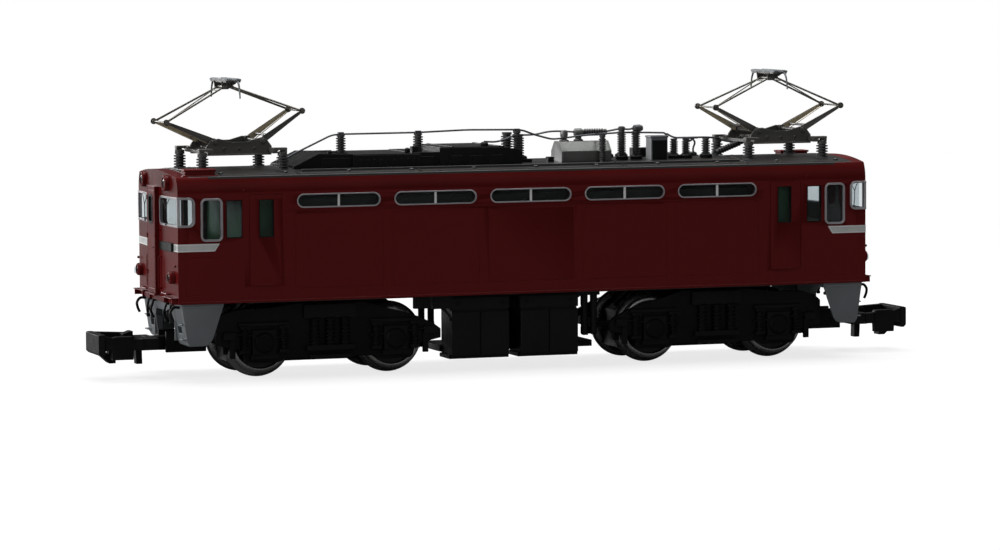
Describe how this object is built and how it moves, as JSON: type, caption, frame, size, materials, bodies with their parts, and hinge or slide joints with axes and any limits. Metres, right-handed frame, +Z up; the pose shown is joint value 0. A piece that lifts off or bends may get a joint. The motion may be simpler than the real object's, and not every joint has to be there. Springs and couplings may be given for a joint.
{
  "type": "model electric locomotive",
  "caption": "Scale model of a four-axle mainline electric locomotive with two roof pantographs, swivelling powered bogies and hooked couplers at both ends.",
  "frame": {"origin": "on the rail tops under the middle of the body", "axes": "+X along the length towards the front cab, +Y to the left side, +Z up"},
  "size_m": [0.1058, 0.0188, 0.0361],
  "materials": {
    "body_red": "semi-gloss dark red paint",
    "roof_grey": "satin dark grey roof paint",
    "clear": "clear moulded glazing",
    "frame_silver": "silver window trim",
    "skirt_grey": "satin grey paint",
    "black_plastic": "satin black moulding",
    "cab_green": "pale green cab interior",
    "insulator": "glossy dark green-black insulators",
    "equipment": "satin dark grey roof equipment",
    "bus_metal": "dull bus wire",
    "die_cast": "blackened die-cast frame",
    "steel": "plain steel",
    "circuit": "green circuit board",
    "magnet": "ferrite magnets",
    "brass": "brass and bronze",
    "gear_plastic": "unfilled gear plastic",
    "bogie_black": "satin black moulding",
    "wheel_nickel": "nickel plated wheels",
    "panto_grey": "dark grey painted pantograph",
    "panto_bronze": "bronze-toned pantograph arms"
  },
  "bodies": {
    "locomotive": {"body_shell": "body_red", "roof_panel": "roof_grey", "window_glazing": "clear", "window_frames": "frame_silver", "light_guides": "clear", "end_handrails": "body_red", "end_skirts": "skirt_grey", "brake_hoses": "black_plastic", "interior_bulkheads": "cab_green", "roof_equipment": "equipment", "roof_insulators": "insulator", "bus_wires": "bus_metal", "whistle_covers": "body_red", "chassis_left": "die_cast", "chassis_right": "die_cast", "chassis_screws": "steel", "underframe_boxes": "black_plastic", "light_boards": "circuit", "motor_can": "steel", "motor_magnets": "magnet", "motor_end_cap": "black_plastic", "worm_bearings": "brass", "front_pantograph_base": "panto_grey", "rear_pantograph_base": "panto_grey"},
    "rotor": {"motor_shaft": "steel", "armature": "steel", "flywheels": "brass", "universal_couplings": "gear_plastic", "worms": "brass"},
    "front_bogie": {"front_bogie_gearbox": "bogie_black", "front_keeper_plate": "bogie_black", "front_pickup_strips": "brass", "front_bogie_side_frames": "bogie_black"},
    "front_top_gear": {"front_top_gear": "gear_plastic"},
    "front_outer_idler": {"front_outer_idler": "gear_plastic"},
    "front_outer_wheelset": {"front_outer_wheelset": "wheel_nickel"},
    "front_inner_idler": {"front_inner_idler": "gear_plastic"},
    "front_inner_wheelset": {"front_inner_wheelset": "wheel_nickel"},
    "front_coupler": {"front_coupler": "bogie_black"},
    "front_pantograph_lower_arm_left": {"front_pantograph_lower_arm_left": "panto_bronze"},
    "front_pantograph_lower_arm_right": {"front_pantograph_lower_arm_right": "panto_bronze"},
    "front_pantograph_upper_arm_left": {"front_pantograph_upper_arm_left": "panto_grey"},
    "front_pantograph_upper_arm_right": {"front_pantograph_upper_arm_right": "panto_grey"},
    "front_pantograph_head": {"front_pantograph_head": "panto_grey"},
    "rear_bogie": {"rear_bogie_gearbox": "bogie_black", "rear_keeper_plate": "bogie_black", "rear_pickup_strips": "brass", "rear_bogie_side_frames": "bogie_black"},
    "rear_top_gear": {"rear_top_gear": "gear_plastic"},
    "rear_outer_idler": {"rear_outer_idler": "gear_plastic"},
    "rear_outer_wheelset": {"rear_outer_wheelset": "wheel_nickel"},
    "rear_inner_idler": {"rear_inner_idler": "gear_plastic"},
    "rear_inner_wheelset": {"rear_inner_wheelset": "wheel_nickel"},
    "rear_coupler": {"rear_coupler": "bogie_black"},
    "rear_pantograph_lower_arm_left": {"rear_pantograph_lower_arm_left": "panto_bronze"},
    "rear_pantograph_lower_arm_right": {"rear_pantograph_lower_arm_right": "panto_bronze"},
    "rear_pantograph_upper_arm_left": {"rear_pantograph_upper_arm_left": "panto_grey"},
    "rear_pantograph_upper_arm_right": {"rear_pantograph_upper_arm_right": "panto_grey"},
    "rear_pantograph_head": {"rear_pantograph_head": "panto_grey"}
  },
  "joints": [
    {"name": "motor_spin", "type": "hinge", "parent": "locomotive", "child": "rotor", "pos_m": [0, 0, 0.0123], "axis": [1, 0, 0], "continuous": true},
    {"name": "front_bogie_swivel", "type": "hinge", "parent": "locomotive", "child": "front_bogie", "pos_m": [0.0252, 0, 0.0089], "axis": [0, 0, 1], "range_deg": [-6, 6]},
    {"name": "front_top_gear_spin", "type": "hinge", "parent": "front_bogie", "child": "front_top_gear", "pos_m": [0.0252, 0, 0.0075], "axis": [0, 1, 0], "continuous": true},
    {"name": "front_outer_idler_spin", "type": "hinge", "parent": "front_bogie", "child": "front_outer_idler", "pos_m": [0.0295, 0, 0.00419], "axis": [0, 1, 0], "continuous": true},
    {"name": "front_outer_wheelset_spin", "type": "hinge", "parent": "front_bogie", "child": "front_outer_wheelset", "pos_m": [0.0335, 0, 0.00375], "axis": [0, 1, 0], "continuous": true},
    {"name": "front_inner_idler_spin", "type": "hinge", "parent": "front_bogie", "child": "front_inner_idler", "pos_m": [0.0209, 0, 0.00419], "axis": [0, 1, 0], "continuous": true},
    {"name": "front_inner_wheelset_spin", "type": "hinge", "parent": "front_bogie", "child": "front_inner_wheelset", "pos_m": [0.0169, 0, 0.00375], "axis": [0, 1, 0], "continuous": true},
    {"name": "front_coupler_lift", "type": "hinge", "parent": "front_bogie", "child": "front_coupler", "pos_m": [0.0432, 0, 0.0037], "axis": [0, -1, 0], "range_deg": [0, 12]},
    {"name": "front_pantograph_fold", "type": "hinge", "parent": "locomotive", "child": "front_pantograph_lower_arm_left", "pos_m": [0.0324, 0, 0.0279], "axis": [0, 1, 0], "range_deg": [-24.51, 25.65]},
    {"name": "front_lower_arm_right_swing", "type": "hinge", "parent": "locomotive", "child": "front_pantograph_lower_arm_right", "pos_m": [0.0384, 0, 0.0279], "axis": [0, 1, 0], "range_deg": [-26.65, 25.51]},
    {"name": "front_upper_arm_left_swing", "type": "hinge", "parent": "front_pantograph_lower_arm_left", "child": "front_pantograph_upper_arm_left", "pos_m": [0.02688, 0, 0.0309], "axis": [0, 1, 0], "range_deg": [-48.25, 46.15]},
    {"name": "front_upper_arm_right_swing", "type": "hinge", "parent": "front_pantograph_lower_arm_right", "child": "front_pantograph_upper_arm_right", "pos_m": [0.04392, 0, 0.0309], "axis": [0, 1, 0], "range_deg": [-46.15, 48.25]},
    {"name": "front_head_level", "type": "hinge", "parent": "front_pantograph_upper_arm_left", "child": "front_pantograph_head", "pos_m": [0.0349, 0, 0.03447], "axis": [0, 1, 0], "range_deg": [-21.64, 22.6]},
    {"name": "rear_bogie_swivel", "type": "hinge", "parent": "locomotive", "child": "rear_bogie", "pos_m": [-0.0252, 0, 0.0089], "axis": [0, 0, 1], "range_deg": [-6, 6]},
    {"name": "rear_top_gear_spin", "type": "hinge", "parent": "rear_bogie", "child": "rear_top_gear", "pos_m": [-0.0252, 0, 0.0075], "axis": [0, 1, 0], "continuous": true},
    {"name": "rear_outer_idler_spin", "type": "hinge", "parent": "rear_bogie", "child": "rear_outer_idler", "pos_m": [-0.0295, 0, 0.00419], "axis": [0, 1, 0], "continuous": true},
    {"name": "rear_outer_wheelset_spin", "type": "hinge", "parent": "rear_bogie", "child": "rear_outer_wheelset", "pos_m": [-0.0335, 0, 0.00375], "axis": [0, 1, 0], "continuous": true},
    {"name": "rear_inner_idler_spin", "type": "hinge", "parent": "rear_bogie", "child": "rear_inner_idler", "pos_m": [-0.0209, 0, 0.00419], "axis": [0, 1, 0], "continuous": true},
    {"name": "rear_inner_wheelset_spin", "type": "hinge", "parent": "rear_bogie", "child": "rear_inner_wheelset", "pos_m": [-0.0169, 0, 0.00375], "axis": [0, 1, 0], "continuous": true},
    {"name": "rear_coupler_lift", "type": "hinge", "parent": "rear_bogie", "child": "rear_coupler", "pos_m": [-0.0432, 0, 0.0037], "axis": [0, 1, 0], "range_deg": [0, 12]},
    {"name": "rear_pantograph_fold", "type": "hinge", "parent": "locomotive", "child": "rear_pantograph_lower_arm_left", "pos_m": [-0.0384, 0, 0.0279], "axis": [0, 1, 0], "range_deg": [-19.35, 12.38]},
    {"name": "rear_lower_arm_right_swing", "type": "hinge", "parent": "locomotive", "child": "rear_pantograph_lower_arm_right", "pos_m": [-0.0324, 0, 0.0279], "axis": [0, 1, 0], "range_deg": [-19.92, 30.58]},
    {"name": "rear_upper_arm_left_swing", "type": "hinge", "parent": "rear_pantograph_lower_arm_left", "child": "rear_pantograph_upper_arm_left", "pos_m": [-0.0442, 0, 0.0303], "axis": [0, 1, 0], "range_deg": [-28.94, 44.69]},
    {"name": "rear_upper_arm_right_swing", "type": "hinge", "parent": "rear_pantograph_lower_arm_right", "child": "rear_pantograph_upper_arm_right", "pos_m": [-0.02722, 0, 0.03145], "axis": [0, 1, 0], "range_deg": [-47.78, 30.92]},
    {"name": "rear_head_level", "type": "hinge", "parent": "rear_pantograph_upper_arm_left", "child": "rear_pantograph_head", "pos_m": [-0.03647, 0, 0.03447], "axis": [0, 1, 0], "range_deg": [-25.34, 16.57]}
  ],
  "couplings": [
    {"joint": "front_top_gear_spin", "follows": "motor_spin", "ratio": -0.05},
    {"joint": "front_outer_idler_spin", "follows": "motor_spin", "ratio": 0.090909},
    {"joint": "front_outer_wheelset_spin", "follows": "motor_spin", "ratio": -0.083333},
    {"joint": "front_inner_idler_spin", "follows": "motor_spin", "ratio": 0.090909},
    {"joint": "front_inner_wheelset_spin", "follows": "motor_spin", "ratio": -0.083333},
    {"joint": "front_lower_arm_right_swing", "follows": "front_pantograph_fold", "ratio": -1},
    {"joint": "front_upper_arm_left_swing", "follows": "front_pantograph_fold", "ratio": -1.8421},
    {"joint": "front_upper_arm_right_swing", "follows": "front_pantograph_fold", "ratio": 1.8421},
    {"joint": "front_head_level", "follows": "front_pantograph_fold", "ratio": 0.84211},
    {"joint": "rear_top_gear_spin", "follows": "motor_spin", "ratio": -0.05},
    {"joint": "rear_outer_idler_spin", "follows": "motor_spin", "ratio": 0.090909},
    {"joint": "rear_outer_wheelset_spin", "follows": "motor_spin", "ratio": -0.083333},
    {"joint": "rear_inner_idler_spin", "follows": "motor_spin", "ratio": 0.090909},
    {"joint": "rear_inner_wheelset_spin", "follows": "motor_spin", "ratio": -0.083333},
    {"joint": "rear_lower_arm_right_swing", "follows": "rear_pantograph_fold", "ratio": -1.5289},
    {"joint": "rear_upper_arm_left_swing", "follows": "rear_pantograph_fold", "ratio": -2.2578},
    {"joint": "rear_upper_arm_right_swing", "follows": "rear_pantograph_fold", "ratio": 2.4178},
    {"joint": "rear_head_level", "follows": "rear_pantograph_fold", "ratio": 1.2578}
  ]
}
